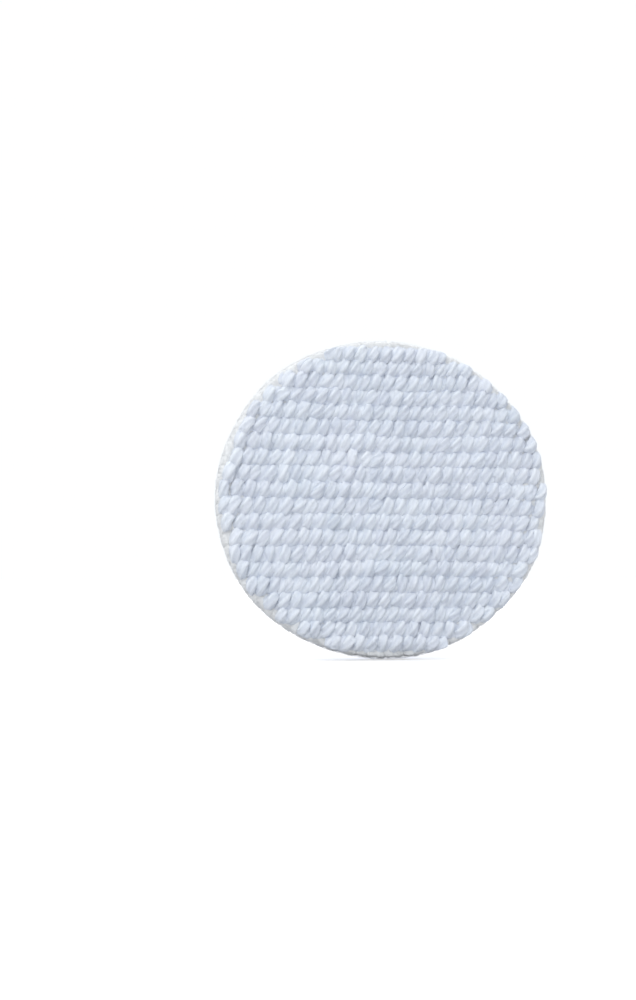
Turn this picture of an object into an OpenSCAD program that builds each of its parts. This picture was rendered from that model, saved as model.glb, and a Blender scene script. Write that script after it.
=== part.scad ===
// Wool polishing pad for a dual-action polisher.
// Twenty rows of twisted wool yarn are tufted through a cloth, which is bonded to a flared
// foam interface. A disc of brushed loop fabric on the foam's back sticks to a hook plate.
//
// The pad's axis lies along Y. The loop face is on the plane y = 0 and faces +Y, and the
// wool faces -Y. The yarn rows run along X and are stacked along Z. Millimetres.

/* [Loop backing] */
// Diameter of the loop disc, which suits the next smaller hook plate
loop_d = 130; // [70:1:180]
// Thickness of the loop fabric, from its ground to the tips of the loops
loop_t = 1.6; // [1:0.1:3]

/* [Foam interface] */
// Thickness of the foam
foam_t = 8; // [5:0.5:20]
// How far the foam's back edge stands out past the loop disc
foam_lip = 0.5; // [0:0.1:3]
// How far the foam's widest edge stands out past its back edge
foam_flare = 4.5; // [1:0.5:10]
// Radius of the foam's rounded front edge
foam_edge_r = 1; // [0.5:0.1:2]

/* [Bonding layers] */
// Thickness of the hot-melt film between the loop fabric and the foam
loop_bond_t = 0.3; // [0.2:0.1:0.8]
// Thickness of the hot-melt film between the foam and the wool head
wool_bond_t = 0.3; // [0.2:0.1:0.8]
// How far the wool head's film stops short of the foam's flat front
wool_bond_inset = 0.5; // [0:0.1:3]
// Thickness of the latex that locks the yarn into the cloth
latex_t = 0.5; // [0.3:0.1:1]

/* [Wool head] */
// Thickness of the woven cloth that the yarn is tufted through
cloth_t = 0.8; // [0.5:0.1:1.5]
// Height of the wool above the cloth
pile_h = 11; // [9:0.5:25]
// How far the wool stands out past the cloth, which is as wide as the foam
wool_overhang = 2.5; // [1:0.1:5]
// Radius of the wool's rounded working edge
shoulder_r = 6; // [3:0.5:7]
// Radius of the wool's rounded edge beside the foam
heel_r = 2; // [1:0.5:2.5]
// Width of the brushed fringe round the yarn rows
fringe_w = 3; // [2:0.5:6]
// Gap between the fringe and the cloth and yarn that it surrounds
fringe_gap = 0.2; // [0.1:0.1:0.5]
// Number of yarn rows across the head
row_count = 20; // [16:1:30]
// Gap between neighbouring yarn rows
row_gap = 0.3; // [0.1:0.1:0.8]

/* [Hidden] */
$fn = 96;

loop_r = loop_d / 2;
foam_back_r = loop_r + foam_lip;
foam_r = foam_back_r + foam_flare;
wool_bond_r = foam_r - foam_edge_r - wool_bond_inset;
cloth_r = foam_r;
wool_r = cloth_r + wool_overhang;
field_r = wool_r - fringe_w; // inner radius of the fringe, round the yarn rows

// Depth of each layer's back face below the loop face
loop_bond_z = loop_t;
foam_z = loop_bond_z + loop_bond_t;
wool_bond_z = foam_z + foam_t;
latex_z = wool_bond_z + wool_bond_t;
cloth_z = latex_z + latex_t;

// The wool head's heights are measured from the back of its latex
ground_t = latex_t + cloth_t;
head_h = ground_t + pile_h;

row_pitch = 2 * field_r / row_count;
row_w = row_pitch - row_gap;
crest_r = 0.6 * row_w; // wider than half the row, so the crest meets the sides at an angle

function row_name(i) = str("yarn_row_", i < 10 ? "0" : "", i);

LAYERS = ["loop_backing", "loop_bond", "foam_interface", "wool_bond", "latex_coat",
    "backing_cloth", "edge_fringe"];

// Turns a layer drawn upwards from z = 0 to face -Y, at its depth below the loop face.
module layer(depth) {
    rotate([90, 0, 0])
        translate([0, 0, depth])
            children();
}

module loop_backing() {
    color("lavender")
        layer(0)
            cylinder(r = loop_r, h = loop_t);
}

module loop_bond() {
    color("ivory")
        layer(loop_bond_z)
            cylinder(r = loop_r, h = loop_bond_t);
}

// The sloped side runs from the back edge to where it touches the rounded front edge.
module foam_profile() {
    centre = [foam_r - foam_edge_r, foam_t - foam_edge_r];
    to_centre = centre - [foam_back_r, 0];
    reach = norm(to_centre);
    slope = atan2(to_centre.y, to_centre.x) - asin(foam_edge_r / reach);
    touch = [foam_back_r, 0] + sqrt(reach ^ 2 - foam_edge_r ^ 2) * [cos(slope), sin(slope)];
    polygon([[0, 0], [foam_back_r, 0], touch, centre, [centre.x, foam_t], [0, foam_t]]);
    translate(centre)
        circle(r = foam_edge_r);
}

module foam_interface() {
    color("dodgerblue")
        layer(foam_z)
            rotate_extrude()
                foam_profile();
}

module wool_bond() {
    color("ivory")
        layer(wool_bond_z)
            cylinder(r = wool_bond_r, h = wool_bond_t);
}

module latex_coat() {
    color("beige")
        layer(latex_z)
            cylinder(r = cloth_r, h = latex_t);
}

module backing_cloth() {
    color("whitesmoke")
        layer(cloth_z)
            cylinder(r = cloth_r, h = cloth_t);
}

// Half section of the whole wool head, with its heel and its shoulder rounded.
module head_profile() {
    square([wool_r - shoulder_r, head_h]);
    translate([0, heel_r])
        square([wool_r, head_h - heel_r - shoulder_r]);
    square([wool_r - heel_r, heel_r]);
    translate([wool_r - heel_r, heel_r])
        circle(r = heel_r);
    translate([wool_r - shoulder_r, head_h - shoulder_r])
        circle(r = shoulder_r);
}

// The fringe surrounds the rows, and hangs back over the edge of the cloth and the latex.
module edge_fringe() {
    color("snow")
        layer(latex_z)
            rotate_extrude()
                difference() {
                    head_profile();
                    square([field_r, head_h]);
                    square([cloth_r + fringe_gap, ground_t]);
                }
}

// Section of a yarn row: its sides are straight and its crest is round.
module row_profile() {
    crest_z = head_h - crest_r;
    translate([-row_w / 2, ground_t])
        square([row_w, crest_z - ground_t]);
    intersection() {
        translate([-row_w / 2, crest_z])
            square([row_w, crest_r]);
        translate([0, crest_z])
            circle(r = crest_r);
    }
}

// Row 1 is the lowest one.
module yarn_row(i) {
    color(i % 2 == 0 ? "aliceblue" : "ghostwhite")
        layer(latex_z)
            intersection() {
                translate([-field_r, (i - 0.5) * row_pitch - field_r, 0])
                    rotate([90, 0, 90])
                        linear_extrude(2 * field_r)
                            row_profile();
                cylinder(r = field_r - fringe_gap, h = 2 * head_h);
            }
}

loop_backing();
loop_bond();
foam_interface();
wool_bond();
latex_coat();
backing_cloth();
edge_fringe();
for (i = [1:row_count]) {
    yarn_row(i);
}
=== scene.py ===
"""Looks of the wool polishing pad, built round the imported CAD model. Metres throughout.

The pad's axis lies along Y: the label faces +Y, the wool faces -Y, and the yarn rows run
along X. Depth is the distance below the label's face, so a point at depth d has y = -d.
"""

import math

import bpy
import numpy as np
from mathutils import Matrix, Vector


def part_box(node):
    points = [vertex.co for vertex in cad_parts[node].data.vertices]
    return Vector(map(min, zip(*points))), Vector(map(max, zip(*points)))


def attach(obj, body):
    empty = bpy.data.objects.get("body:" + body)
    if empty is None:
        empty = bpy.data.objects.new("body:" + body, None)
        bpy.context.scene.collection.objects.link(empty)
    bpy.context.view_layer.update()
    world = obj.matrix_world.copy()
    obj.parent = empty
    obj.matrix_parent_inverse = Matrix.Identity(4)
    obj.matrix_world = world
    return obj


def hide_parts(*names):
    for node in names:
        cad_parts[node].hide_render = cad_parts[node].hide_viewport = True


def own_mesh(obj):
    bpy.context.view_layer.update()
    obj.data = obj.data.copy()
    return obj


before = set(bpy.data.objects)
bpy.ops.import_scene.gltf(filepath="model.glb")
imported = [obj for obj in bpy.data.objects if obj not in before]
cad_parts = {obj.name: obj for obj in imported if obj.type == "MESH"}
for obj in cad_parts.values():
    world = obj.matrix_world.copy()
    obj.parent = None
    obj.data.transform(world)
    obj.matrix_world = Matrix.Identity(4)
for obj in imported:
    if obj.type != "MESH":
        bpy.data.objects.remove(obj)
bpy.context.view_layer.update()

MM = 0.001
TURN = 2 * math.pi
HEAD, BACKING = "wool_head", "backing"
ROWS = sorted(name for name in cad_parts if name.startswith("yarn_row_"))


# ---------------------------------------------------------------- places from the CAD

def depths(node):
    """Depth of a layer's back face and of its front face."""
    low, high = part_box(node)
    return -high.y, -low.y


def radius(node):
    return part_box(node)[1].x


PILE_DEPTH, FACE_DEPTH = depths(ROWS[len(ROWS) // 2])
ROW_PITCH = (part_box(ROWS[-1])[1].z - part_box(ROWS[0])[0].z) / len(ROWS)
WOOL_R = radius("edge_fringe")
CLOTH_R = radius("backing_cloth")
FOAM_R = radius("foam_interface")
LOOP_R = radius("loop_backing")
FRINGE_W = 3.0 * MM
FIELD_R = WOOL_R - FRINGE_W  # the round field that the yarn rows fill
SHOULDER_R = 6.0 * MM  # rounding of the wool's edge at its face
HEEL_R = 1.1 * MM  # rounding of the wool's edge at the foam


# ---------------------------------------------------------------- mesh helpers

def make_piece(name, verts, faces, corner_uvs=None, tone=None, material=None):
    """A smooth-shaded object from vertices (N, 3) and a list of (M, corners) face arrays.

    corner_uvs becomes the UV map "strand", and tone a lighter or darker shade per vertex.
    """
    sizes = np.concatenate([np.full(len(f), f.shape[1]) for f in faces])
    corners = np.concatenate([f.ravel() for f in faces])
    mesh = bpy.data.meshes.new(name)
    mesh.vertices.add(len(verts))
    mesh.vertices.foreach_set("co", np.asarray(verts, np.float32).ravel())
    mesh.loops.add(len(corners))
    mesh.loops.foreach_set("vertex_index", corners.astype(np.int32))
    mesh.polygons.add(len(sizes))
    starts = np.concatenate([[0], np.cumsum(sizes)[:-1]])
    mesh.polygons.foreach_set("loop_start", starts.astype(np.int32))
    mesh.polygons.foreach_set("use_smooth", np.ones(len(sizes), bool))
    if corner_uvs is not None:
        layer = mesh.uv_layers.new(name="strand")
        flat = np.concatenate([uv.reshape(-1, 2) for uv in corner_uvs])
        layer.data.foreach_set("uv", flat.astype(np.float32).ravel())
    if tone is not None:
        mesh.attributes.new("tone", "FLOAT", "POINT").data.foreach_set(
            "value", np.asarray(tone, np.float32)
        )
    mesh.update()
    mesh.validate()
    piece = bpy.data.objects.new(name, mesh)
    bpy.context.scene.collection.objects.link(piece)
    if material:
        mesh.materials.append(material)
    return piece


def tube_faces(count, rings, sides, along):
    """Faces and corner UVs of `count` closed tubes, each `rings` rings of `sides` points.

    along is (count, rings), the length at each ring, and becomes the U coordinate.
    """
    k, j = np.meshgrid(np.arange(rings - 1), np.arange(sides), indexing="ij")
    quad = np.stack([
        k * sides + j,
        k * sides + (j + 1) % sides,
        (k + 1) * sides + (j + 1) % sides,
        (k + 1) * sides + j,
    ], -1).reshape(-1, 4)
    offsets = np.arange(count)[:, None, None] * rings * sides
    quads = (quad[None] + offsets).reshape(-1, 4)
    u0, u1 = along[:, k.ravel()], along[:, k.ravel() + 1]
    v0 = np.broadcast_to(j.ravel() / sides, u0.shape)
    v1 = v0 + 1 / sides
    uvs = np.stack([
        np.stack([u0, v0], -1), np.stack([u0, v1], -1),
        np.stack([u1, v1], -1), np.stack([u1, v0], -1),
    ], 2).reshape(-1, 4, 2)
    first = np.arange(sides)[::-1]
    last = (rings - 1) * sides + np.arange(sides)
    caps = np.concatenate([first[None] + offsets[:, 0], last[None] + offsets[:, 0]])
    cap_uvs = np.zeros((len(caps), sides, 2))
    return [quads, caps], [uvs, cap_uvs]


def join_parts(parts):
    """Joins (verts, faces, corner_uvs, tone) parts, whose face indices start from 0."""
    verts, faces, uvs, tones, start = [], [], [], [], 0
    for part_verts, part_faces, part_uvs, part_tone in parts:
        verts.append(part_verts)
        faces += [f + start for f in part_faces]
        uvs += part_uvs
        tones.append(part_tone)
        start += len(part_verts)
    return np.concatenate(verts), faces, uvs, np.concatenate(tones)


def unit(v):
    return v / np.linalg.norm(v, axis=-1, keepdims=True)


def smooth_step(x, low, high):
    t = np.clip((x - low) / (high - low), 0, 1)
    return t * t * (3 - 2 * t)


def ripple(rng, x, period, count=5):
    """Smooth random values near -1 to 1 along x, which vary over about one period."""
    total = 0
    for _ in range(count):
        total = total + np.sin(TURN * x / (period * rng.uniform(0.6, 1.8)) + rng.uniform(0, TURN))
    return total / count ** 0.5


def ring_ripple(rng, angle, orders):
    """Smooth random values round a ring, which join up after a full turn."""
    total = 0
    for order in orders:
        total = total + np.sin(order * angle + rng.uniform(0, TURN))
    return total / len(orders) ** 0.5


FIBRE_GIRTH = 0.01  # a fibre's girth as a share of a yarn's, for the strand UV's V
FIBRE_SIDES = 3
FIBRE_POINTS = 5
FIBRE_WIDTH = (0.05, 0.09)  # the thinnest and the thickest wool fibre, in millimetres
FIBRE_ASIDE = np.array([0.31, -0.87, 0.38])  # a direction that next to no fibre follows
FIBRE_TIP, FIBRE_BELLY = 0.35, 0.65  # shares of the thickness that stay and that swell


def fibres(paths, thickness, tone):
    """Thin closed tubes along paths (count, points, 3), slimmer towards both ends."""
    count, points, _ = paths.shape
    ahead = unit(np.gradient(paths, axis=1))
    side = unit(np.cross(ahead, FIBRE_ASIDE))
    up = np.cross(ahead, side)
    t = np.linspace(0, 1, points)
    taper = FIBRE_TIP + FIBRE_BELLY * np.sin(math.pi * (0.12 + 0.76 * t))
    angle = np.arange(FIBRE_SIDES) / FIBRE_SIDES * TURN
    ring = (side[:, :, None] * np.cos(angle)[:, None]
            + up[:, :, None] * np.sin(angle)[:, None])
    width = thickness[:, None] / 2 * taper
    verts = paths[:, :, None] + ring * width[:, :, None, None]
    steps = np.linalg.norm(np.diff(paths, axis=1), axis=-1)
    along = np.concatenate([np.zeros((count, 1)), np.cumsum(steps, 1)], 1)
    faces, uvs = tube_faces(count, points, FIBRE_SIDES, along)
    uvs = [uv * (1, FIBRE_GIRTH) for uv in uvs]
    return verts.reshape(-1, 3), faces, uvs, np.repeat(tone, points * FIBRE_SIDES)


# ---------------------------------------------------------------- materials

def new_material(name):
    material = bpy.data.materials.new(name)
    material.use_nodes = True
    nodes = material.node_tree.nodes
    return material, nodes, nodes["Principled BSDF"]


def add_node(nodes, kind, inputs=None, **settings):
    """A new node with its settings and its inputs, each a value or another node's socket."""
    node = nodes.new(kind)
    for key, value in settings.items():
        setattr(node, key, value)
    for key, value in (inputs or {}).items():
        if isinstance(value, bpy.types.NodeSocket):
            node.id_data.links.new(value, node.inputs[key])
        else:
            node.inputs[key].default_value = value
    return node


def link(source, target):
    source.id_data.links.new(source, target)


def maths(nodes, operation, a, b=0.0, c=0.0, clamp=False):
    node = add_node(nodes, "ShaderNodeMath", {0: a, 1: b, 2: c}, operation=operation)
    node.use_clamp = clamp
    return node.outputs[0]


def mixed(nodes, factor, a, b):
    """A colour from a to b."""
    node = nodes.new("ShaderNodeMix")
    node.data_type = "RGBA"
    for socket, value in ((node.inputs[0], factor), (node.inputs[6], a), (node.inputs[7], b)):
        if isinstance(value, bpy.types.NodeSocket):
            link(value, socket)
        else:
            socket.default_value = value
    return node.outputs[2]


def layered(nodes, base, *layers):
    """base plus each (value, weight) layer."""
    for value, weight in layers:
        base = maths(nodes, "MULTIPLY_ADD", value, weight, base)
    return base


def noise(nodes, vector, scale, detail=3.0, roughness=0.55):
    return add_node(nodes, "ShaderNodeTexNoise", {
        "Vector": vector, "Scale": scale, "Detail": detail, "Roughness": roughness,
    }).outputs["Fac"]


def object_coords(nodes):
    return nodes.new("ShaderNodeTexCoord").outputs["Object"]


def bump(nodes, height, distance, strength=1.0, below=None):
    inputs = {"Height": height, "Distance": distance, "Strength": strength}
    if below is not None:
        inputs["Normal"] = below
    return add_node(nodes, "ShaderNodeBump", inputs).outputs["Normal"]


def set_surface(shader, specular, sheen, sheen_roughness=0.5):
    """The values of a soft surface that are the same all over it."""
    shader.inputs["Specular IOR Level"].default_value = specular
    shader.inputs["Sheen Weight"].default_value = sheen
    shader.inputs["Sheen Roughness"].default_value = sheen_roughness


# Colours, darkest and lightest, and the tinge that patches of wool take on.
YARN_COLOURS = (0.62, 0.68, 0.78, 1), (0.90, 0.95, 1.0, 1), (0.88, 0.87, 0.95, 1)
BRUSHED_COLOURS = (0.80, 0.82, 0.85, 1), (0.95, 0.955, 0.96, 1), (0.94, 0.93, 0.91, 1)
FOAM_DARK, FOAM_LIGHT = (0.008, 0.19, 0.70, 1), (0.04, 0.34, 0.92, 1)
FILM_COLOURS = (0.72, 0.73, 0.74, 1), (0.90, 0.90, 0.90, 1)
LATEX_COLOURS = (0.72, 0.71, 0.66, 1), (0.90, 0.89, 0.84, 1)
CLOTH_COLOURS = (0.52, 0.52, 0.50, 1), (0.82, 0.82, 0.80, 1)
STREAKS_ALONG = 220.0  # fibre streaks in each metre along a strand


def wool_material(name, dark, light, tinge, strands, plies=0):
    """Wool whose fibres run along the strand UV's U, so many to each unit of its V.

    With plies, the grooves between the plies of a yarn are painted a little darker as shade, and
    the plies' crowns a little lighter as painted light.
    """
    material, nodes, shader = new_material(name)
    coords = object_coords(nodes)
    uv = add_node(nodes, "ShaderNodeUVMap", uv_map="strand").outputs["UV"]
    stretched = add_node(nodes, "ShaderNodeMapping", {
        "Vector": uv, "Scale": (STREAKS_ALONG, strands, 1.0),
    }).outputs["Vector"]
    streaks = noise(nodes, stretched, scale=1.0, detail=4.0, roughness=0.6)
    coarse = noise(nodes, coords, scale=130.0, detail=2.0)
    flecks = noise(nodes, coords, scale=650.0, roughness=0.6)
    tone = add_node(nodes, "ShaderNodeAttribute", attribute_name="tone").outputs["Fac"]
    shade = layered(nodes, tone, (streaks, 0.55), (coarse, 0.35), (flecks, 0.5))
    relief = streaks
    if plies:
        v = add_node(nodes, "ShaderNodeSeparateXYZ", {0: uv}).outputs["Y"]
        wave = maths(nodes, "COSINE", maths(nodes, "MULTIPLY", v, math.pi * plies))
        crown = maths(nodes, "MULTIPLY", wave, wave)
        # Painted shade and light: the colour darkens in the grooves between the plies and
        # lightens on their crowns.
        shade = layered(nodes, maths(nodes, "SUBTRACT", shade, 0.25), (crown, 0.45))
        relief = layered(nodes, streaks, (crown, 0.7))
    colour = mixed(nodes, maths(nodes, "SUBTRACT", shade, 0.7, clamp=True), dark, light)
    tint = maths(nodes, "MULTIPLY", noise(nodes, coords, scale=75.0, detail=2.0), 0.5)
    link(mixed(nodes, tint, colour, tinge), shader.inputs["Base Color"])
    link(layered(nodes, 0.68, (streaks, 0.3)), shader.inputs["Roughness"])
    link(bump(nodes, relief, distance=0.25 * MM, strength=0.9), shader.inputs["Normal"])
    set_surface(shader, specular=0.25, sheen=0.25, sheen_roughness=0.45)
    return material


def foam_material():
    """Bright blue open-cell foam: small pits painted dark as shade between paler cell walls."""
    material, nodes, shader = new_material("blue_foam")
    coords = object_coords(nodes)
    cells = add_node(nodes, "ShaderNodeTexVoronoi", {
        "Vector": coords, "Scale": 2300.0, "Randomness": 1.0,
    }, feature="F1").outputs["Distance"]
    grains = noise(nodes, coords, scale=1500.0, detail=4.0, roughness=0.65)
    patches = noise(nodes, coords, scale=60.0)
    walls = layered(nodes, cells, (grains, 0.9))
    shade = layered(nodes, walls, (patches, 0.3))
    # Painted shade: the colour darkens in the cells' pits, which the bump also sinks; the patches
    # are tone that differs at random.
    colour = mixed(nodes, maths(nodes, "SUBTRACT", shade, 0.5, clamp=True), FOAM_DARK, FOAM_LIGHT)
    link(colour, shader.inputs["Base Color"])
    link(layered(nodes, 0.72, (grains, 0.2)), shader.inputs["Roughness"])
    link(bump(nodes, walls, distance=0.2 * MM, strength=0.7), shader.inputs["Normal"])
    set_surface(shader, specular=0.3, sheen=0.1)
    return material


def film_material(name, dark, light, scale, roughness, relief):
    """A matte material with fine grain, for films and coats."""
    material, nodes, shader = new_material(name)
    grain = noise(nodes, object_coords(nodes), scale, detail=4.0)
    link(mixed(nodes, grain, dark, light), shader.inputs["Base Color"])
    link(layered(nodes, roughness, (grain, 0.25)), shader.inputs["Roughness"])
    link(bump(nodes, grain, distance=relief, strength=0.6), shader.inputs["Normal"])
    return material


def weave_material(name, dark, light, pitch):
    """Plain weave: threads along X and Z that pass over and under each other, with painted shade
    where a thread passes under.
    """
    material, nodes, shader = new_material(name)
    coords = object_coords(nodes)
    split = add_node(nodes, "ShaderNodeSeparateXYZ", {0: coords})
    x = maths(nodes, "SINE", maths(nodes, "MULTIPLY", split.outputs["X"], math.pi / pitch))
    z = maths(nodes, "SINE", maths(nodes, "MULTIPLY", split.outputs["Z"], math.pi / pitch))
    over = layered(nodes, 0.5, (maths(nodes, "MULTIPLY", x, z), 0.5))
    fine = noise(nodes, coords, scale=900.0)
    height = layered(nodes, over, (fine, 0.4))
    # Painted shade: the colour follows the height, darker where a thread passes under another.
    link(mixed(nodes, maths(nodes, "MULTIPLY", height, 0.7, clamp=True), dark, light),
         shader.inputs["Base Color"])
    link(layered(nodes, 0.75, (fine, 0.2)), shader.inputs["Roughness"])
    link(bump(nodes, height, distance=0.2 * MM, strength=0.8), shader.inputs["Normal"])
    return material


# ---------------------------------------------------------------- the label's print

INK = (0.04, 0.055, 0.10, 1)
PINK = (0.52, 0.14, 0.28, 1)
# Each bar and square: centre X, centre Z, half width, half height, in millimetres.
PINK_SQUARE = (0, 37.7, 16.4, 16.4)
NAME_BAR = (33.5, -4.6, 12.0, 1.3)
TITLE_BARS = [
    (0, -25.9, 16.0, 2.3),
    (27.5, -35.5, 12.5, 2.3),
    (0, -35.5, 11.5, 2.3),
    (-27.5, -35.5, 12.5, 2.3),
]
SMALL_BARS = [(4.5, -52.3, 9.5, 1.0), (-10.0, -52.3, 3.5, 1.0)]
RING = (44.7, 7.0, 5.4, 1.5)  # centre X, centre Z, middle radius, half width
DOT_R = 1.9
PRINT_EDGE = 0.25 * MM  # the width over which a printed edge fades
PRINT_WANDER = 0.9 * MM  # how far the nap carries a printed edge about
GROUND_SHADES = (0.57, 0.61, 0.77, 1), (0.72, 0.76, 0.91, 1)
# The filaments' colours are painted light: lighter than the ground to offset the shade on and
# under them.
FILAMENT_PAINTED_LIGHTER = (0.76, 0.78, 0.92, 1), (0.88, 0.90, 1.0, 1)


def label_material(name, woven):
    """Brushed loop fabric with its print, either its woven ground or its loose filaments, which
    are painted lighter than the ground as painted light against their own shading.
    """
    material, nodes, shader = new_material(name)
    coords = object_coords(nodes)
    nap = noise(nodes, coords, scale=1100.0, roughness=0.65)
    clumps = noise(nodes, coords, scale=260.0, roughness=0.6)
    wander = add_node(nodes, "ShaderNodeTexNoise", {
        "Vector": coords, "Scale": 900.0, "Detail": 2.0,
    }).outputs["Color"]
    offset = add_node(nodes, "ShaderNodeVectorMath", {0: wander, 1: (0.5, 0.5, 0.5)},
                      operation="SUBTRACT").outputs[0]
    offset = add_node(nodes, "ShaderNodeVectorMath", {0: offset, "Scale": PRINT_WANDER},
                      operation="SCALE").outputs[0]
    soft = add_node(nodes, "ShaderNodeVectorMath", {0: coords, 1: offset},
                    operation="ADD").outputs[0]
    split = add_node(nodes, "ShaderNodeSeparateXYZ", {0: soft})
    x, z = split.outputs["X"], split.outputs["Z"]

    def edge(distance):
        """1 inside a shape and 0 outside, from its signed distance in metres."""
        return maths(nodes, "MULTIPLY_ADD", distance, -1 / PRINT_EDGE, 0.5, clamp=True)

    def past(value, centre, half):
        """How far a value is past a half width on either side of a centre."""
        offset = maths(nodes, "ABSOLUTE", maths(nodes, "SUBTRACT", value, centre))
        return maths(nodes, "SUBTRACT", offset, half)

    def box_distance(shape):
        cx, cz, half_w, half_h = (value * MM for value in shape)
        return maths(nodes, "MAXIMUM", past(x, cx, half_w), past(z, cz, half_h))

    def disc_distance(cx, cz, r):
        dx, dz = maths(nodes, "SUBTRACT", x, cx * MM), maths(nodes, "SUBTRACT", z, cz * MM)
        squares = maths(nodes, "MULTIPLY_ADD", dx, dx, maths(nodes, "MULTIPLY", dz, dz))
        return maths(nodes, "SUBTRACT", maths(nodes, "SQRT", squares), r * MM)

    centre_x, centre_z, ring_r, ring_half = RING
    ring = past(disc_distance(centre_x, centre_z, ring_r), 0.0, ring_half * MM)
    dark = edge(maths(nodes, "MINIMUM", ring, disc_distance(centre_x, centre_z, DOT_R)))
    for shape in [NAME_BAR, *TITLE_BARS, *SMALL_BARS]:
        dark = maths(nodes, "MAXIMUM", dark, edge(box_distance(shape)))

    fabric = mixed(nodes, clumps, *(GROUND_SHADES if woven else FILAMENT_PAINTED_LIGHTER))
    cover = maths(nodes, "MULTIPLY_ADD", nap, 0.5, 0.68, clamp=True)
    pink = maths(nodes, "MULTIPLY", edge(box_distance(PINK_SQUARE)), cover)
    printed = mixed(nodes, pink, fabric, PINK)
    printed = mixed(nodes, maths(nodes, "MULTIPLY", dark, cover), printed, INK)
    link(printed, shader.inputs["Base Color"])
    link(layered(nodes, 0.75, (nap, 0.2)), shader.inputs["Roughness"])
    if woven:
        relief = bump(nodes, clumps, distance=0.12 * MM, strength=0.5)
        link(bump(nodes, nap, distance=0.15 * MM, strength=0.8, below=relief),
             shader.inputs["Normal"])
    set_surface(shader, specular=0.25, sheen=0.3)
    return material


# ---------------------------------------------------------------- the wool rows

TUFT_PITCH = 5.65 * MM
ROW_STAGGER = 0.38  # each row down is shifted left by this share of the tuft pitch
ROW_WAVE, ROW_WAVE_LENGTH = 0.25 * MM, 40 * MM  # how far a row strays from a straight line
END_INSET = 2.2 * MM  # from the wool's edge to the middle of a row's last tuft
END_CLEAR = 0.15  # least share of the pitch between that place and the tuft before it
END_GAP = 0.6  # share of the pitch that is enough for a tuft of its own there
SLANT = math.radians(70)  # a tuft's direction in the face, from +X towards +Z
TUFT_REACH = 2.65 * MM  # half the distance between a loop's two legs
TUFT_RISE = 1.7 * MM  # height of the loop's arch above its legs
CREST_R = math.hypot(TUFT_REACH, TUFT_RISE) / math.sqrt(2)
TUFT_FLAT = 2.2 * MM  # yarn radius in the loop's own plane
TUFT_WIDE = 2.5 * MM  # yarn radius across it
ROOT_GIRTH = 0.72  # the yarn's thickness at a loop's roots, as a share of that
LUMPS = 0.035  # unevenness of the yarn's thickness
TWIST = TURN / (24 * MM)  # the yarn turns once in 24 mm
PLIES = 4
PLY_SIDES = 7  # points round each ply
PLY_OFFSET, PLY_R = 0.41, 0.59  # a ply's centre and radius, as shares of the yarn's radius
LEG_RINGS, CREST_RINGS = 5, 25  # rings of points along a leg and over the arch

# The tufts' scatter, each as a standard deviation.
SCATTER_X, SCATTER_Z = 0.22 * MM, 0.16 * MM
SCATTER_SLANT = math.radians(8)
SCATTER_SIZE = 0.05
SCATTER_HEIGHT = 0.3 * MM
MIDDLE_TONE, SCATTER_TONE = 0.5, 0.11

TUFT_LOW = 0.25 * MM  # how far the middling tuft's crest is below the CAD's crest
TUFT_HIGH = 0.1 * MM  # how far above it a crest may stand
TUFT_OUTER = 1.2 * MM  # from a crest's middle to its outer side, which meets the shoulder
RIM_BAND = (13 * MM, 2 * MM)  # the band inside the wool's edge in which tufts lean outward
RIM_LEAN = 0.35  # sideways share of the direction of a tuft at the rim
RIM_SPLAY = 0.5 * MM  # how far the tips there fall outward
RIM_TONE = 0.12  # how much paler the tufts there are
DROOP = 0.06  # downward share of a tuft's direction
RIM_SOFT = 3.0 * MM  # the width of the band in which the wool is packed into its outline
RIM_CLEAR = 0.1 * MM  # how far inside the outline that band ends

OVAL = 2.4 * MM  # how much the wool's outline is wider than round, and lower
FULLNESS = 0.4 * MM  # how far it stands out all round
UNEVEN = 0.35 * MM  # how far it wavers

FIBRES_PER_TUFT = 90
FIBRE_START = (-0.25, 1.05)  # where they start, as shares of the loop's arch
FIBRE_RUN, FIBRE_LIFT = (1.4, 4.2), (0.06, 0.75)  # lengths and lifts, in millimetres
FIBRE_DRIFT = 260  # how fast they turn round the yarn, in radians per metre

CORE_DROP = 1.5 * MM  # how far below the tufts' crests the yarn behind them lies
CORE_HIGH, CORE_WIDE = 3.6 * MM, ROW_PITCH * 0.72  # its radii, in depth and across the row
CORE_INSET = 1 * MM  # how far short of the CAD's row it ends
CORE_STEP, CORE_SIDES = 0.7 * MM, 18  # space between its rings, and points in each


def crest_depth(distance):
    """Depth of the wool's face at a distance from the pad's axis, round the shoulder."""
    out = np.clip(distance - (WOOL_R - SHOULDER_R), 0, SHOULDER_R * 0.98)
    return FACE_DEPTH + SHOULDER_R - np.sqrt(SHOULDER_R ** 2 - out ** 2)


def ply_shape(angle):
    """Outline of a yarn of four plies, as a share of its radius."""
    sector = TURN / PLIES
    nearest = (angle + sector / 2) % sector - sector / 2
    middle, aside = PLY_OFFSET * np.cos(nearest), PLY_OFFSET * np.sin(nearest)
    return middle + np.sqrt(PLY_R ** 2 - aside ** 2)


def out_of_round(angle):
    """How far the wool's edge stands from a true circle, round the pad."""
    uneven = ring_ripple(np.random.default_rng(8), angle, [3, 4, 5, 7, 9])
    return OVAL * np.cos(2 * angle) + FULLNESS + UNEVEN * uneven


def packed_in(points):
    """Follows the wool's uneven edge, and packs what would stand past it back inside."""
    x, z = points[..., 0], points[..., 2]
    distance = np.maximum(np.hypot(x, z), 1e-6)
    soft_r = WOOL_R - RIM_CLEAR - RIM_SOFT
    over = np.maximum(distance - soft_r, 0)
    moved = np.minimum(distance, soft_r) + RIM_SOFT * np.tanh(over / RIM_SOFT)
    moved = moved + out_of_round(np.arctan2(z, x)) * (moved / WOOL_R) ** 3
    return np.stack([x * moved / distance, points[..., 1], z * moved / distance], -1)


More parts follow.
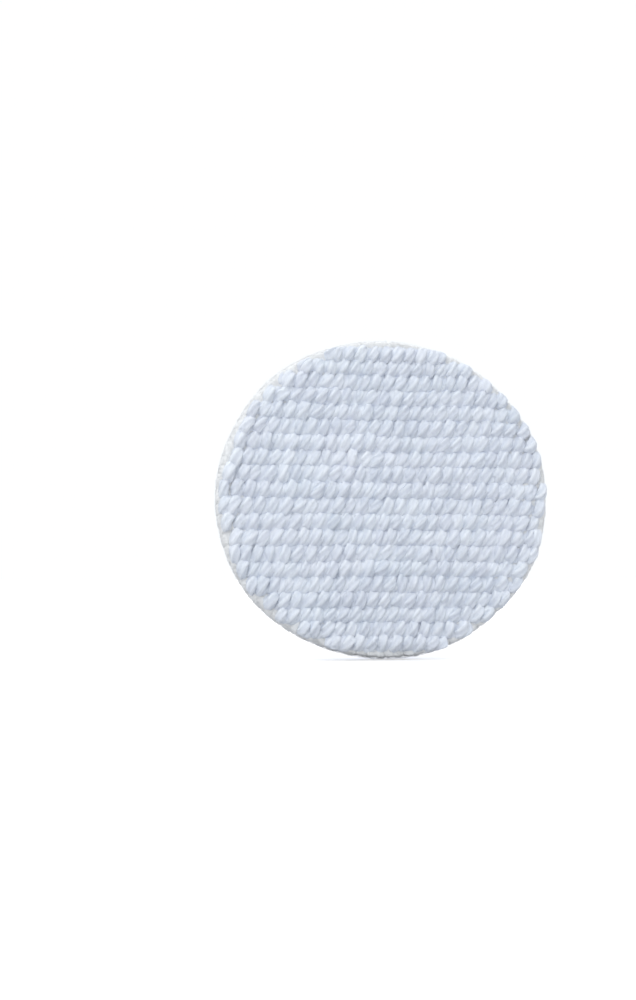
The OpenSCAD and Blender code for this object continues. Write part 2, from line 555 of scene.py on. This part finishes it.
class Tufts:
    """The loops of one yarn row: where each stands, leans and turns, and its surface."""

    def __init__(self, row, rng):
        low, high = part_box(ROWS[row])
        middle = (low.z + high.z) / 2
        from_top = len(ROWS) - 1 - row
        shift = (-ROW_STAGGER * from_top) % 1
        reach = math.ceil(WOOL_R / TUFT_PITCH) + 1
        x = (np.arange(-reach, reach + 1) + shift) * TUFT_PITCH
        z = middle + ROW_WAVE * ripple(rng, x, ROW_WAVE_LENGTH)
        half = math.sqrt((WOOL_R - END_INSET) ** 2 - middle ** 2)
        keep = np.abs(x) < half - END_CLEAR * TUFT_PITCH
        x, z = x[keep], z[keep]
        if x.min() + half > END_GAP * TUFT_PITCH:
            x, z = np.append(x, -half), np.append(z, middle)
        if half - x.max() > END_GAP * TUFT_PITCH:
            x, z = np.append(x, half), np.append(z, middle)
        count = len(x)
        x = x + rng.normal(0, SCATTER_X, count)
        z = z + rng.normal(0, SCATTER_Z, count)
        self.count = count
        self.size = rng.normal(1.0, SCATTER_SIZE, count)
        self.phase = rng.uniform(0, TURN, count)
        self.tone = np.clip(rng.normal(MIDDLE_TONE, SCATTER_TONE, count), 0.2, 0.8)
        slant = SLANT + rng.normal(0, SCATTER_SLANT, count)

        distance = np.hypot(x, z)
        radial = np.stack([x, 0 * x, z], -1) / distance[:, None]
        at_rim = smooth_step(distance, WOOL_R - RIM_BAND[0], WOOL_R - RIM_BAND[1])
        self.tone += RIM_TONE * at_rim
        self.outward = unit(np.array([0, -1, -DROOP]) + radial * (RIM_LEAN * at_rim)[:, None])
        along = np.stack([np.cos(slant), 0 * x, np.sin(slant)], -1)
        along = along - self.outward * (along * self.outward).sum(-1, keepdims=True)
        self.along = unit(along)
        self.across = np.cross(self.outward, self.along)
        top = crest_depth(distance + TUFT_OUTER) + rng.normal(-TUFT_LOW, SCATTER_HEIGHT, count)
        top = np.minimum(top, FACE_DEPTH + TUFT_HIGH)
        tip = np.stack([x, -top, z], -1) + radial * (RIM_SPLAY * at_rim)[:, None]
        self.height = (top - PILE_DEPTH) / -self.outward[:, 1]
        self.root = tip - self.outward * self.height[:, None]

    def centreline(self, length):
        """Points and in-plane normals at lengths (count, n) along each tuft's loop."""
        size = self.size[:, None]
        leg, total = (value[:, None] for value in self.total())
        turn = np.clip((length - leg) / (CREST_R * size), 0, math.pi)
        fallen = np.maximum(length - (total - leg), 0)
        side = -TUFT_REACH * size * np.cos(turn)
        rise = np.minimum(length, leg) + TUFT_RISE * size * np.sin(turn) - fallen
        points = (self.root[:, None] + self.along[:, None] * side[..., None]
                  + self.outward[:, None] * rise[..., None])
        normals = unit(-self.along[:, None] * (np.cos(turn) / TUFT_REACH)[..., None]
                       + self.outward[:, None] * (np.sin(turn) / TUFT_RISE)[..., None])
        return points, normals

    def total(self):
        """Length of a loop's leg and of the whole loop."""
        leg = self.height - TUFT_FLAT - TUFT_RISE * self.size
        return leg, leg * 2 + math.pi * CREST_R * self.size

    def surface(self, length, angle, lift=0.0):
        """Points on the yarn at (count, n) lengths and angles, which turn with the plies."""
        points, normals = self.centreline(length)
        leg, total = self.total()
        at_root = np.minimum(length, total[:, None] - length) / leg[:, None]
        swell = ROOT_GIRTH + (1 - ROOT_GIRTH) * smooth_step(at_root, 0.0, 0.9)
        turned = -(angle + TWIST * length + self.phase[:, None])
        size = ply_shape(angle) * swell * self.size[:, None]
        lumps = np.sin(3.1 * turned + 900 * length + self.phase[:, None])
        size = size * (1 + LUMPS * lumps)
        flat = np.cos(turned)[..., None] * normals
        wide = np.sin(turned)[..., None] * self.across[:, None]
        skin = flat * (size * TUFT_FLAT)[..., None] + wide * (size * TUFT_WIDE)[..., None]
        return packed_in(points + skin + unit(skin) * np.asarray(lift)[..., None])


def tuft_loops(tufts):
    """The yarn loops of a row, as one closed tube each."""
    leg, total = tufts.total()
    rise = np.linspace(0, 1, LEG_RINGS, endpoint=False)
    crest = np.linspace(0, 1, CREST_RINGS)
    up = leg[:, None] * rise
    over = leg[:, None] + (total - 2 * leg)[:, None] * crest
    down = total[:, None] - leg[:, None] * rise[::-1]
    length = np.concatenate([up, over, down], 1)
    rings, sides = length.shape[1], PLIES * PLY_SIDES
    angle = np.arange(sides) / sides * TURN
    all_lengths = np.repeat(length, sides, 1)
    all_angles = np.tile(angle, rings)[None].repeat(tufts.count, 0)
    verts = tufts.surface(all_lengths, all_angles).reshape(-1, 3)
    faces, uvs = tube_faces(tufts.count, rings, sides, length)
    return verts, faces, uvs, np.repeat(tufts.tone, rings * sides)


def tuft_fibres(tufts, rng):
    """Loose fibres that follow the plies of each loop and lift off at their ends."""
    leg, total = tufts.total()
    shape = (tufts.count, FIBRES_PER_TUFT)
    start = leg[:, None] + (total - 2 * leg)[:, None] * rng.uniform(*FIBRE_START, shape)
    run = rng.uniform(*FIBRE_RUN, shape) * MM * rng.choice([-1, 1], shape)
    angle = rng.uniform(0, TURN, shape)
    drift = rng.normal(0, FIBRE_DRIFT, shape)
    lift = rng.uniform(*FIBRE_LIFT, shape) * MM
    t = np.linspace(0, 1, FIBRE_POINTS)
    length = start[..., None] + run[..., None] * t
    length = np.clip(length, 0, total[:, None, None]).reshape(tufts.count, -1)
    turned = (angle[..., None] + drift[..., None] * run[..., None] * t).reshape(tufts.count, -1)
    lifted = (0.05 * MM + lift[..., None] * t ** 1.6).reshape(tufts.count, -1)
    paths = tufts.surface(length, turned, lifted).reshape(-1, FIBRE_POINTS, 3)
    thickness = rng.uniform(*FIBRE_WIDTH, len(paths)) * MM
    tone = np.repeat(tufts.tone, FIBRES_PER_TUFT) + rng.uniform(0.0, 0.25, len(paths))
    return fibres(paths, thickness, tone)


def row_core(row, rng):
    """The yarn packed behind a row's crests, as one fat strand along the row."""
    low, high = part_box(ROWS[row])
    middle, half = (low.z + high.z) / 2, high.x - CORE_INSET
    rings, sides = round(2 * half / CORE_STEP), CORE_SIDES
    x = np.linspace(-half, half, rings)
    angle = np.arange(sides) / sides * TURN
    place, around = np.meshgrid(x, angle, indexing="ij")
    turned = around - TURN * place / (PLIES * TUFT_PITCH)
    size = ply_shape(around) * (1 + 0.05 * ripple(rng, place, 7 * MM))
    size = size * np.sqrt(np.clip(1 - (np.abs(place) / half) ** 30, 0.02, 1))  # blunt ends
    depth = crest_depth(np.hypot(place, middle)) - CORE_DROP - CORE_HIGH
    verts = packed_in(np.stack([
        place,
        -(depth + np.sin(turned) * size * CORE_HIGH),
        middle + np.cos(turned) * size * CORE_WIDE,
    ], -1)).reshape(-1, 3)
    faces, uvs = tube_faces(1, rings, sides, x[None])
    return verts, faces, uvs, np.full(rings * sides, MIDDLE_TONE)


def wool_row(row, material):
    rng = np.random.default_rng(1000 + row)
    tufts = Tufts(row, rng)
    parts = [tuft_loops(tufts), tuft_fibres(tufts, rng), row_core(row, rng)]
    piece = make_piece(f"wool_row_{row + 1:02d}", *join_parts(parts), material)
    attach(piece, HEAD)
    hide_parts(ROWS[row])


# ---------------------------------------------------------------- the brushed fringe

FRINGE_CLUMPS = 84
FRINGE_TURNS = 1512  # points round the fringe
FRINGE_FIBRES = 7500
FRINGE_UNDER = 9 * MM  # how far it reaches in under the tufts
CLUMP_GROOVE, STRAND_GROOVE = 0.4, 0.18  # depths of the grooves, in millimetres
FRINGE_LUMPS = 0.12  # and height of its lumps
FRINGE_TONE = 0.62
SEAT = 0.1 * MM  # clearance round the cloth, and the heel's reach past the latex
COMB_START = (-0.05, 0.95)  # where loose fibres start, as shares of the way round its outside
COMB_RUN, COMB_LIFT = (2.5, 6.5), (0.05, 0.6)  # their lengths and lifts, in millimetres
COMB_TONE = (0.5, 0.85)


def arc(centre_r, centre_depth, r, start, end, count):
    """(radius, depth) points on an arc, from start to end in degrees."""
    angle = np.radians(np.linspace(start, end, count))
    return np.stack([centre_r + r * np.cos(angle), centre_depth + r * np.sin(angle)], -1)


def fringe_outline():
    """Closed half section of the fringe, as (radius, depth) points, and its outer count."""
    heel_depth = depths("latex_coat")[0] - SEAT
    heel = np.concatenate([
        [[CLOTH_R + SEAT, heel_depth]],
        arc(WOOL_R - HEEL_R, heel_depth + HEEL_R, HEEL_R, -90, 0, 8),
    ])
    shoulder = arc(WOOL_R - SHOULDER_R, FACE_DEPTH - SHOULDER_R, SHOULDER_R, 0, 40, 11)
    side_depth = np.linspace(heel[-1, 1], shoulder[0, 1], 8)[1:-1]
    side = np.stack([np.full(len(side_depth), WOOL_R), side_depth], -1)
    slope_r = np.linspace(shoulder[-1, 0], FIELD_R - FRINGE_UNDER, 8)[1:]
    slope_depth = np.interp(slope_r, [slope_r[-1], shoulder[-1, 0]],
                            [FACE_DEPTH - 3.0 * MM, shoulder[-1, 1] - 0.3 * MM])
    outer = np.concatenate([heel, side, shoulder, np.stack([slope_r, slope_depth], -1)])
    inner = np.array([
        [FIELD_R - FRINGE_UNDER, FACE_DEPTH - 7 * MM],
        [FIELD_R - 4 * MM, PILE_DEPTH + 1.5 * MM],
        [FIELD_R - 0.2 * MM, PILE_DEPTH + SEAT],
        [CLOTH_R + SEAT, PILE_DEPTH + SEAT],
    ])
    return np.concatenate([outer, inner]), len(outer)


def fringe_relief(angle, along, rng):
    """Height of the fringe's clumps of fibres, with grooves between them."""
    warp = 0.35 * np.sin(5 * angle + 1.0) + 0.25 * np.sin(9 * angle + along * 3)
    place = angle / TURN * FRINGE_CLUMPS + warp
    clump = np.abs((place + 0.25 * along) % 1 - 0.5) * 2
    strand = np.abs((place * 3 + 0.4 * np.sin(angle * 31 + along * 4)) % 1 - 0.5) * 2
    lumps = ring_ripple(rng, angle, [21, 34, 47, 63]) + np.sin(angle * 57 + along * 9)
    return MM * (FRINGE_LUMPS * lumps - CLUMP_GROOVE * clump ** 4 - STRAND_GROOVE * strand ** 2)


def fringe_surface():
    outline, outer = fringe_outline()
    rings, sides = FRINGE_TURNS, len(outline)
    rng = np.random.default_rng(7)
    angle = np.arange(rings) / rings * TURN
    around, index = np.meshgrid(angle, np.arange(sides), indexing="ij")
    along = np.clip(index / (outer - 1), 0, 1)
    bulge = np.where(index < outer, np.sin(math.pi * along) ** 0.5, 0)
    relief = fringe_relief(around, along, rng) * bulge
    spread = out_of_round(around) * (0.4 + 0.6 * bulge)
    tangent = np.gradient(outline, axis=0)
    normal = unit(np.stack([tangent[:, 1], -tangent[:, 0]], -1))
    r = outline[:, 0] + relief * normal[:, 0] + spread
    depth = outline[:, 1] + relief * normal[:, 1]
    verts = np.stack([r * np.cos(around), -depth, r * np.sin(around)], -1).reshape(-1, 3)
    k, j = np.meshgrid(np.arange(rings), np.arange(sides), indexing="ij")
    after, beside = (k + 1) % rings, (j + 1) % sides
    quads = np.stack([
        after * sides + j, after * sides + beside, k * sides + beside, k * sides + j,
    ], -1).reshape(-1, 4)
    steps = np.linalg.norm(np.diff(outline, axis=0, append=outline[:1]), axis=-1)
    u = np.concatenate([[0], np.cumsum(steps)])
    v = np.arange(rings + 1) / rings * FRINGE_CLUMPS
    uvs = np.stack([
        np.stack([u[j], v[k + 1]], -1), np.stack([u[j + 1], v[k + 1]], -1),
        np.stack([u[j + 1], v[k]], -1), np.stack([u[j], v[k]], -1),
    ], 2).reshape(-1, 4, 2)
    tone = FRINGE_TONE + 0.08 * ring_ripple(rng, around, [11, 17, 29, 41])
    return verts, [quads], [uvs], tone.ravel()


def fringe_fibres():
    """Loose fibres combed round the fringe, from the foam's edge towards the face."""
    rng = np.random.default_rng(9)
    outline, outer = fringe_outline()
    steps = np.linalg.norm(np.diff(outline[:outer], axis=0), axis=-1)
    reach = np.concatenate([[0], np.cumsum(steps)])
    count = FRINGE_FIBRES
    angle = rng.uniform(0, TURN, count)
    start = rng.uniform(*COMB_START, count) * reach[-1]
    run = rng.uniform(*COMB_RUN, count) * MM * rng.choice([1, 1, -1], count)
    t = np.linspace(0, 1, FIBRE_POINTS)
    along = np.maximum(start[:, None] + run[:, None] * t, -0.5 * MM * t)  # not over the foam
    inside = np.clip(along, 0, reach[-1])
    r = np.interp(inside, reach, outline[:outer, 0])
    depth = np.interp(inside, reach, outline[:outer, 1])
    slope = np.gradient(outline[:outer], axis=0)
    normal = unit(np.stack([slope[:, 1], -slope[:, 0]], -1))
    normal_r = np.interp(inside, reach, normal[:, 0])
    normal_depth = np.interp(inside, reach, normal[:, 1])
    past = along - inside
    lift = (0.02 + rng.uniform(*COMB_LIFT, count)[:, None] * t ** 1.7) * MM
    spread = out_of_round(angle)[:, None] * 0.9
    swing = (angle[:, None] + rng.normal(0, 0.012, count)[:, None] * t
             + rng.normal(0, 0.008, count)[:, None] * t ** 2)
    r = r + spread + normal_r * lift - np.abs(past) * 0.3
    depth = depth + normal_depth * lift + past * 0.6
    paths = np.stack([r * np.cos(swing), -depth, r * np.sin(swing)], -1)
    thickness = rng.uniform(*FIBRE_WIDTH, count) * MM
    return fibres(paths, thickness, rng.uniform(*COMB_TONE, count))


def wool_fringe(material):
    piece = make_piece("wool_fringe", *fringe_surface(), material)
    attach(piece, HEAD)
    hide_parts("edge_fringe")
    fuzz = make_piece("fringe_fuzz", *fringe_fibres(), material)
    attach(fuzz, HEAD)


# ---------------------------------------------------------------- discs turned about Y

def turned(outline, turns, relief=None):
    """A closed body turned about Y from (radius, depth) points, whose ends lie on that axis.

    relief(angle, r, depth) gives how far each point stands out along the outline's normal.
    """
    ring = outline[1:-1]
    angle = np.arange(turns) / turns * TURN
    around, _ = np.meshgrid(angle, ring[:, 0], indexing="ij")
    slope = np.gradient(outline, axis=0)[1:-1]
    normal = unit(np.stack([slope[:, 1], -slope[:, 0]], -1))
    r = np.broadcast_to(ring[:, 0], around.shape)
    depth = np.broadcast_to(ring[:, 1], around.shape)
    if relief:
        height = relief(around, r, depth)
        r, depth = r + height * normal[:, 0], depth + height * normal[:, 1]
    verts = np.stack([r * np.cos(around), -depth, r * np.sin(around)], -1).reshape(-1, 3)
    poles = np.array([[0, -outline[0, 1], 0], [0, -outline[-1, 1], 0]])
    sides = len(ring)
    k, j = np.meshgrid(np.arange(turns), np.arange(sides - 1), indexing="ij")
    after = (k + 1) % turns
    quads = np.stack([
        after * sides + j, after * sides + j + 1, k * sides + j + 1, k * sides + j,
    ], -1).reshape(-1, 4)
    k = np.arange(turns)
    after = (k + 1) % turns
    back, front = turns * sides, turns * sides + 1
    first = np.stack([np.full(turns, back), after * sides, k * sides], -1)
    last = np.stack([np.full(turns, front), k * sides + sides - 1, after * sides + sides - 1], -1)
    return np.concatenate([verts, poles]), [quads, first, last]


def spaced(start, end, step):
    """Points from start up to but not at end, about step apart."""
    start, end = np.array(start), np.array(end)
    count = max(1, round(np.linalg.norm(end - start) / step))
    return start + (end - start) * np.linspace(0, 1, count, endpoint=False)[:, None]


FOAM_EDGE_R = 1.0 * MM  # rounding of the foam's wide edge
FOAM_LIP = 0.5 * MM  # how far the foam stands out past the loop fabric
CUT_WAVES, CUT_RIPPLES = (5, 9, 14, 23, 37, 61), (151, 223, 307)  # in each turn of the edge
CUT_WAVE, CUT_RIPPLE = 0.035 * MM, 0.02 * MM  # and their heights


def foam_disc():
    """The flared foam, cut a little unevenly, with a soft rounded front edge."""
    back, front = depths("foam_interface")
    edge_r, lip_r = FOAM_EDGE_R, LOOP_R + FOAM_LIP
    rounded = arc(FOAM_R - edge_r, front - edge_r, edge_r, -32, 90, 10)
    outline = np.concatenate([
        [[0, back]],
        spaced([8 * MM, back], [lip_r - 1.5 * MM, back], 6 * MM),
        spaced([lip_r - 1.5 * MM, back], [lip_r, back], 0.3 * MM),
        spaced([lip_r, back + 0.1 * MM], rounded[0], 0.28 * MM),
        rounded,
        spaced([FOAM_R - edge_r - 1 * MM, front], [8 * MM, front], 6 * MM),
        [[0, front]],
    ])
    rng = np.random.default_rng(21)
    phases = rng.uniform(0, TURN, 12)

    def relief(angle, r, depth):
        seen = smooth_step(r, lip_r - 1.5 * MM, lip_r)
        waves = sum(np.sin(order * angle + phase + depth * 700)
                    for order, phase in zip(CUT_WAVES, phases))
        ripples = sum(np.sin(order * angle + phase + depth * 4000)
                      for order, phase in zip(CUT_RIPPLES, phases[len(CUT_WAVES):]))
        return seen * (CUT_WAVE * waves + CUT_RIPPLE * ripples)

    verts, faces = turned(outline, 900, relief)
    piece = make_piece("foam_disc", verts, faces, material=foam_material())
    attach(piece, BACKING)
    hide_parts("foam_interface")
    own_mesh(piece)


# ---------------------------------------------------------------- the loop fabric

NAP_LOOPS = 7400
NAP_AT_EDGE = 0.4  # share of the filaments that stand at the cut edge
NAP_RUN = (0.7, 1.5)  # lengths of the shortest and the longest, in millimetres
NAP_RISE = (0.06, 0.16)  # how far the lowest and the highest arch, in millimetres
NAP_ROOM = 0.15 * MM  # from the CAD's face down to the disc's, which the nap fills
DISC_RELIEF, DISC_FRAY = 0.02 * MM, 0.06 * MM  # unevenness of the disc's face and cut edge


def loop_disc(material):
    """The brushed loop disc, soft at its cut edge."""
    back, front = depths("loop_backing")
    face, edge_r = back + NAP_ROOM, 0.5 * MM
    outline = np.concatenate([
        [[0, face]],
        spaced([1.5 * MM, face], [LOOP_R - edge_r, face], 1.1 * MM),
        arc(LOOP_R - edge_r, face + edge_r, edge_r, -90, 0, 6),
        spaced([LOOP_R, face + edge_r + 0.1 * MM], [LOOP_R, front], 0.3 * MM),
        [[LOOP_R - 0.05 * MM, front], [LOOP_R - 3 * MM, front], [0, front]],
    ])
    phases = np.random.default_rng(31).uniform(0, TURN, 8)

    def relief(angle, r, depth):
        x, z = r * np.cos(angle), r * np.sin(angle)
        nap = sum(np.sin((x * np.cos(phase * 3) + z * np.sin(phase * 3)) * 1500 + phase)
                  for phase in phases)
        cut = ring_ripple(np.random.default_rng(32), angle, [41, 67, 98, 131])
        at_edge = smooth_step(r, LOOP_R - 1 * MM, LOOP_R)
        on_face = 1 - smooth_step(depth, face, front)
        return DISC_RELIEF * nap * on_face + DISC_FRAY * cut * at_edge

    verts, faces = turned(outline, 480, relief)
    return make_piece("loop_disc", verts, faces, material=material)


def loop_nap(material):
    """Short curled filaments over the disc, denser at its cut edge."""
    rng = np.random.default_rng(33)
    face = depths("loop_backing")[0] + NAP_ROOM
    count = NAP_LOOPS
    at_edge = rng.uniform(size=count) < NAP_AT_EDGE
    r = np.where(at_edge, LOOP_R - rng.uniform(0, 0.8, count) * MM,
                 np.sqrt(rng.uniform(0, 1, count)) * LOOP_R)
    angle = rng.uniform(0, TURN, count)
    root = np.stack([r * np.cos(angle), np.full(count, -face), r * np.sin(angle)], -1)
    heading = np.where(at_edge, angle + rng.normal(0, 0.7, count), rng.uniform(0, TURN, count))
    way = np.stack([np.cos(heading), 0 * heading, np.sin(heading)], -1)
    run = rng.uniform(*NAP_RUN, count) * MM * np.where(at_edge, 0.75, 1)
    rise = rng.uniform(*NAP_RISE, count) * MM
    t = np.linspace(0, 1, FIBRE_POINTS)
    curl = rng.normal(0, 0.25, count)
    side = np.stack([-way[:, 2], way[:, 1], way[:, 0]], -1)
    arch = np.sin(math.pi * t) * rise[:, None] - 0.05 * MM
    paths = (root[:, None] + way[:, None] * (run[:, None] * t)[..., None]
             + side[:, None] * (run[:, None] * curl[:, None] * t ** 2)[..., None])
    drop = np.where(at_edge[:, None], 0.5 * MM * t ** 2 * rng.uniform(0, 1, count)[:, None], 0)
    paths[..., 1] += arch - drop
    thickness = rng.uniform(0.05, 0.08, count) * MM
    return make_piece("loop_nap", *fibres(paths, thickness, np.full(count, 0.5)), material)


def loop_backing():
    disc = loop_disc(label_material("loop_fabric", woven=True))
    nap = loop_nap(label_material("loop_filaments", woven=False))
    for piece in (disc, nap):
        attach(piece, BACKING)
    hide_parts("loop_backing")


CLOTH_RELIEF, CLOTH_WAVE = 0.04 * MM, 1400  # height and radians per metre of its grid
CLOTH_INSET = 0.05 * MM  # room for that grid inside the CAD's faces


def backing_cloth():
    """The woven ground of the wool, with the grid of its threads pressed into it."""
    back, front = depths("backing_cloth")
    back, front = back + CLOTH_INSET, front - CLOTH_INSET
    outline = np.concatenate([
        [[0, back]],
        spaced([2 * MM, back], [CLOTH_R, back], 1.5 * MM),
        spaced([CLOTH_R, back], [CLOTH_R, front], 0.2 * MM),
        spaced([CLOTH_R, front], [2 * MM, front], 1.5 * MM),
        [[0, front]],
    ])

    def relief(angle, r, depth):
        x, z = r * np.cos(angle), r * np.sin(angle)
        return CLOTH_RELIEF * np.sin(x * CLOTH_WAVE) * np.sin(z * CLOTH_WAVE)

    material = weave_material("woven_cloth", *CLOTH_COLOURS, pitch=0.6 * MM)
    piece = make_piece("cloth_disc", *turned(outline, 480, relief), material=material)
    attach(piece, HEAD)
    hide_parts("backing_cloth")


def finish_cad_layers():
    """Materials for the CAD nodes that stay as they are."""
    film = film_material("bond_film", *FILM_COLOURS, scale=300.0, roughness=0.35,
                         relief=0.05 * MM)
    latex = film_material("latex", *LATEX_COLOURS, scale=450.0, roughness=0.55,
                          relief=0.08 * MM)
    for node, material in (("loop_bond", film), ("wool_bond", film), ("latex_coat", latex)):
        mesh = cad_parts[node].data
        mesh.materials.clear()
        mesh.materials.append(material)


# ---------------------------------------------------------------- floor, light and camera

VIEW_AZIMUTH, VIEW_ELEVATION = math.radians(-13), math.radians(-3)
VIEW_DISTANCE = 0.62
METRES_PER_IMAGE = 0.45  # height of the view at the pad's distance
PAD_RIGHT_OF_CENTRE = 0.0285  # how far right of the view's centre the pad stands
FLOOR_Z = -WOOL_R + 1.2 * MM  # the lowest tufts, where the wool is flattened
FLOOR_HALF = 6.0  # half the floor's side
FLOOR_DARK, FLOOR_LIGHT = (0.53, 0.53, 0.54, 1), (0.57, 0.57, 0.58, 1)
GLOW_NEAR, GLOW_FAR, GLOW_REACH = 0.55, 0.95, 2.5  # the floor's glow, near and at a distance
SKY_COLOUR = (0.955, 0.98, 1, 1)
SKY_LIGHT, SKY_SEEN = 0.85, 1.05  # strength as a light, and as the camera sees it
# Name, place, width in metres, watts and colour.
LAMPS = [
    ("top", (-0.3, -0.4, 0.75), 0.9, 1.9, (0.96, 0.985, 1)),
    ("front", (-0.6, -1.0, 0.4), 1.2, 3.5, (0.95, 0.98, 1)),
    ("back", (0.35, 0.9, 0.6), 1.0, 5.4, (1, 1, 1)),
]


def aim(obj, target):
    direction = target - np.array(obj.location)
    obj.rotation_mode = "QUATERNION"
    obj.rotation_quaternion = Vector(direction).to_track_quat("-Z", "Y")


def area_light(name, place, size, power, colour):
    """A square lamp that points at the pad."""
    data = bpy.data.lights.new(name, "AREA")
    data.shape, data.size = "SQUARE", size
    data.energy, data.color = power, colour
    lamp = bpy.data.objects.new(name, data)
    lamp.location = place
    bpy.context.scene.collection.objects.link(lamp)
    aim(lamp, np.zeros(3))


def make_camera():
    middle = np.array([0, -FACE_DEPTH / 2, 0])
    back = np.array([
        math.sin(VIEW_AZIMUTH) * math.cos(VIEW_ELEVATION),
        -math.cos(VIEW_AZIMUTH) * math.cos(VIEW_ELEVATION),
        math.sin(VIEW_ELEVATION),
    ])
    right = np.array([math.cos(VIEW_AZIMUTH), math.sin(VIEW_AZIMUTH), 0])
    data = bpy.data.cameras.new("camera")
    data.sensor_width = 36
    data.lens = data.sensor_width * VIEW_DISTANCE / METRES_PER_IMAGE
    data.clip_start, data.clip_end = 0.01, 20
    camera = bpy.data.objects.new("camera", data)
    camera.location = middle + back * VIEW_DISTANCE
    bpy.context.scene.collection.objects.link(camera)
    aim(camera, middle - right * PAD_RIGHT_OF_CENTRE)
    bpy.context.scene.camera = camera


def seen_by_camera(nodes):
    return nodes.new("ShaderNodeLightPath").outputs["Is Camera Ray"]


def make_floor():
    """A pale floor, whose glow hides where it ends from the camera."""
    material, nodes, shader = new_material("studio_floor")
    coords = object_coords(nodes)
    link(mixed(nodes, noise(nodes, coords, scale=40.0), FLOOR_DARK, FLOOR_LIGHT),
         shader.inputs["Base Color"])
    away = add_node(nodes, "ShaderNodeVectorMath", {0: coords}, operation="LENGTH")
    share = maths(nodes, "MULTIPLY", away.outputs["Value"], 1 / GLOW_REACH, clamp=True)
    glow = layered(nodes, GLOW_NEAR, (share, GLOW_FAR - GLOW_NEAR))
    shader.inputs["Roughness"].default_value = 0.9
    shader.inputs["Emission Color"].default_value = (1, 1, 1, 1)
    link(maths(nodes, "MULTIPLY", seen_by_camera(nodes), glow),
         shader.inputs["Emission Strength"])
    corners = np.array([(x * FLOOR_HALF, y * FLOOR_HALF, FLOOR_Z)
                        for x, y in ((-1, -1), (1, -1), (1, 1), (-1, 1))])
    floor = make_piece("studio_floor", corners, [np.array([[0, 1, 2, 3]])], material=material)


def make_light():
    """A white surround, and soft lamps above, in front on the left, and behind."""
    world = bpy.data.worlds.new("studio")
    world.use_nodes = True
    nodes = world.node_tree.nodes
    background = nodes["Background"]
    background.inputs["Color"].default_value = SKY_COLOUR
    link(layered(nodes, SKY_LIGHT, (seen_by_camera(nodes), SKY_SEEN - SKY_LIGHT)),
         background.inputs["Strength"])
    bpy.context.scene.world = world
    for lamp in LAMPS:
        area_light(*lamp)
    bpy.context.scene.view_settings.view_transform = "Standard"


make_camera()
make_floor()
make_light()
yarn = wool_material("twisted_wool", *YARN_COLOURS, strands=44.0, plies=PLIES)
brushed = wool_material("brushed_wool", *BRUSHED_COLOURS, strands=26.0)
for index in range(len(ROWS)):
    wool_row(index, yarn)
wool_fringe(brushed)
foam_disc()
loop_backing()
backing_cloth()
finish_cad_layers()
